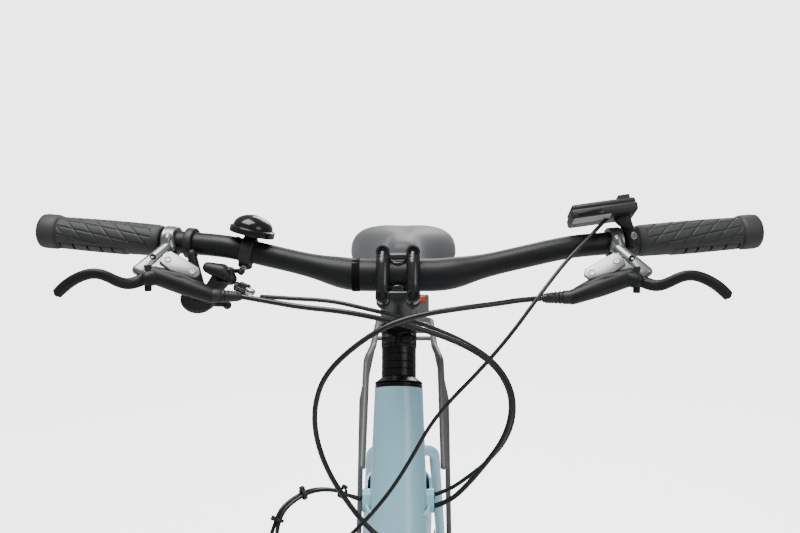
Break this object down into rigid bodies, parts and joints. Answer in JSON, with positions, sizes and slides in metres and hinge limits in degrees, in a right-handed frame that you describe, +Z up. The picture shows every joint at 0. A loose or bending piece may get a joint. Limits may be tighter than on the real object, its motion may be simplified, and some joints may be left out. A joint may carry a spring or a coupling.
{
  "type": "hybrid bicycle",
  "caption": "Step-over hybrid bike with pedal assist: pale blue frame, riser bar with hydraulic levers, bell, display, rear rack, disc brakes and a centre stand.",
  "frame": {"origin": "on the ground, at the middle of the bounding box's base", "axes": "the bike faces -Y, +X is the rider's left, +Z is up"},
  "size_m": [0.7368, 1.812, 1.1137],
  "materials": {
    "frame_paint": "satin",
    "black_metal": "matte",
    "silver_metal": "satin",
    "steel": "satin",
    "grip_rubber": "matte",
    "tyre_rubber": "matte",
    "cord_black": "satin",
    "matte_black_plastic": "matte",
    "gloss_black": "gloss",
    "rack_paint": "satin",
    "red_lens": "gloss",
    "saddle_cover": "satin"
  },
  "bodies": {
    "frame": {"head_tube": "frame_paint", "top_tube": "frame_paint", "down_tube": "frame_paint", "seat_tube": "frame_paint", "seat_stays": "frame_paint", "chain_stays": "frame_paint", "motor_housing": "matte_black_plastic", "battery": "matte_black_plastic", "headset_bearings": "black_metal", "rack": "rack_paint", "rear_light": "red_lens", "rear_caliper": "black_metal", "derailleur_body": "black_metal", "chain": "steel", "rear_cable_tails": "cord_black"},
    "steering": {"fork": "frame_paint", "headset_spacers": "black_metal", "stem": "black_metal", "stem_faceplate": "black_metal", "stem_bolts": "steel", "handlebar": "black_metal", "grips": "grip_rubber", "brake_bodies": "black_metal", "brake_lids": "silver_metal", "shifter_body": "matte_black_plastic", "bell": "gloss_black", "display_unit": "matte_black_plastic", "front_light": "matte_black_plastic", "front_caliper": "black_metal", "front_hose": "cord_black", "rear_cables": "cord_black", "bundle_wires": "cord_black"},
    "seat": {"seatpost": "black_metal", "saddle_rails": "steel", "saddle_shell": "matte_black_plastic", "saddle_pad": "saddle_cover"},
    "front_wheel": {"front_tyre": "tyre_rubber", "front_rim": "black_metal", "front_spokes": "steel", "front_hub": "black_metal"},
    "rear_wheel": {"rear_tyre": "tyre_rubber", "rear_rim": "black_metal", "rear_spokes": "steel", "rear_hub": "black_metal"},
    "cassette": {"cassette": "steel"},
    "cranks": {"crank_arms": "black_metal", "chainring": "black_metal"},
    "pedal_left": {"pedal_left": "matte_black_plastic"},
    "pedal_right": {"pedal_right": "matte_black_plastic"},
    "derailleur_cage": {"derailleur_cage": "black_metal"},
    "guide_pulley": {"guide_pulley": "matte_black_plastic"},
    "tension_pulley": {"tension_pulley": "matte_black_plastic"},
    "kickstand": {"kickstand_legs": "black_metal"},
    "brake_lever_left": {"brake_lever_left": "black_metal"},
    "brake_lever_right": {"brake_lever_right": "black_metal"},
    "shift_thumb_lever": {"shift_thumb_lever": "matte_black_plastic"},
    "shift_trigger": {"shift_trigger": "matte_black_plastic"},
    "bell_striker": {"bell_striker": "gloss_black"},
    "button_up": {"button_up": "matte_black_plastic"},
    "button_down": {"button_down": "matte_black_plastic"}
  },
  "joints": [
    {"name": "steering_turn", "type": "hinge", "parent": "frame", "child": "steering", "pos_m": [0, -0.35246, 0.73794], "axis": [0, 0.342, 0.9397], "range_deg": [-60, 60], "deforming": ["rear_cables", "bundle_wires"]},
    {"name": "front_wheel_spin", "type": "hinge", "parent": "steering", "child": "front_wheel", "pos_m": [0, -0.55, 0.356], "axis": [1, 0, 0], "continuous": true},
    {"name": "rear_wheel_spin", "type": "hinge", "parent": "frame", "child": "rear_wheel", "pos_m": [0, 0.55, 0.356], "axis": [1, 0, 0], "continuous": true},
    {"name": "crank_spin", "type": "hinge", "parent": "frame", "child": "cranks", "pos_m": [0, 0.09045, 0.285], "axis": [1, 0, 0], "continuous": true, "deforming": ["chain"]},
    {"name": "cassette_spin", "type": "hinge", "parent": "frame", "child": "cassette", "pos_m": [0, 0.55, 0.356], "axis": [1, 0, 0], "continuous": true},
    {"name": "pedal_left_spin", "type": "hinge", "parent": "cranks", "child": "pedal_left", "pos_m": [0.085, 0.26045, 0.285], "axis": [1, 0, 0], "continuous": true},
    {"name": "pedal_right_spin", "type": "hinge", "parent": "cranks", "child": "pedal_right", "pos_m": [-0.085, -0.07955, 0.285], "axis": [1, 0, 0], "continuous": true},
    {"name": "derailleur_cage_swing", "type": "hinge", "parent": "frame", "child": "derailleur_cage", "pos_m": [-0.048, 0.554, 0.254], "axis": [1, 0, 0], "range_deg": [-15, 20], "stiffness_Nm_per_rad": 2, "springref_deg": -51.57, "deforming": ["chain"]},
    {"name": "guide_pulley_spin", "type": "hinge", "parent": "derailleur_cage", "child": "guide_pulley", "pos_m": [-0.048, 0.554, 0.254], "axis": [1, 0, 0], "continuous": true},
    {"name": "tension_pulley_spin", "type": "hinge", "parent": "derailleur_cage", "child": "tension_pulley", "pos_m": [-0.048, 0.516, 0.19], "axis": [1, 0, 0], "continuous": true},
    {"name": "kickstand_fold", "type": "hinge", "parent": "frame", "child": "kickstand", "pos_m": [0, 0.14995, 0.17], "axis": [1, 0, 0], "range_deg": [0, 88]},
    {"name": "seatpost_slide", "type": "slide", "parent": "frame", "child": "seat", "axis": [0, 0.2672, 0.9636], "range_m": [-0.1, 0.03]},
    {"name": "brake_lever_left_pull", "type": "hinge", "parent": "steering", "child": "brake_lever_left", "pos_m": [0.225, -0.37502, 1.03329], "axis": [0, 0, 1], "range_deg": [0, 22], "stiffness_Nm_per_rad": 2, "springref_deg": -14.32},
    {"name": "brake_lever_right_pull", "type": "hinge", "parent": "steering", "child": "brake_lever_right", "pos_m": [-0.237, -0.37277, 1.03408], "axis": [0, 0, -1], "range_deg": [0, 22], "stiffness_Nm_per_rad": 2, "springref_deg": -14.32},
    {"name": "shift_thumb_push", "type": "hinge", "parent": "steering", "child": "shift_thumb_lever", "pos_m": [-0.196, -0.33952, 1.00776], "axis": [0, 1, 0], "range_deg": [0, 25], "stiffness_Nm_per_rad": 0.6, "springref_deg": -11.46},
    {"name": "shift_trigger_press", "type": "hinge", "parent": "steering", "child": "shift_trigger", "pos_m": [-0.164, -0.34552, 1.03726], "axis": [0, 1, 0], "range_deg": [0, 5], "stiffness_Nm_per_rad": 0.4, "springref_deg": -5.73},
    {"name": "bell_striker_flick", "type": "hinge", "parent": "steering", "child": "bell_striker", "pos_m": [-0.146, -0.32363, 1.05798], "axis": [-0.2195, 0, -0.9756], "range_deg": [0, 20], "stiffness_Nm_per_rad": 0.08, "springref_deg": -5.73},
    {"name": "button_up_press", "type": "slide", "parent": "steering", "child": "button_up", "axis": [0.1324, -0.309, -0.9418], "range_m": [0, 0.0015], "stiffness_N_per_m": 600, "springref_m": -0.001},
    {"name": "button_down_press", "type": "slide", "parent": "steering", "child": "button_down", "axis": [0.1324, -0.309, -0.9418], "range_m": [0, 0.0015], "stiffness_N_per_m": 600, "springref_m": -0.001}
  ],
  "couplings": [
    {"joint": "cassette_spin", "follows": "crank_spin", "ratio": 2.1053},
    {"joint": "guide_pulley_spin", "follows": "crank_spin", "ratio": -3.6364},
    {"joint": "tension_pulley_spin", "follows": "crank_spin", "ratio": 3.6364}
  ]
}
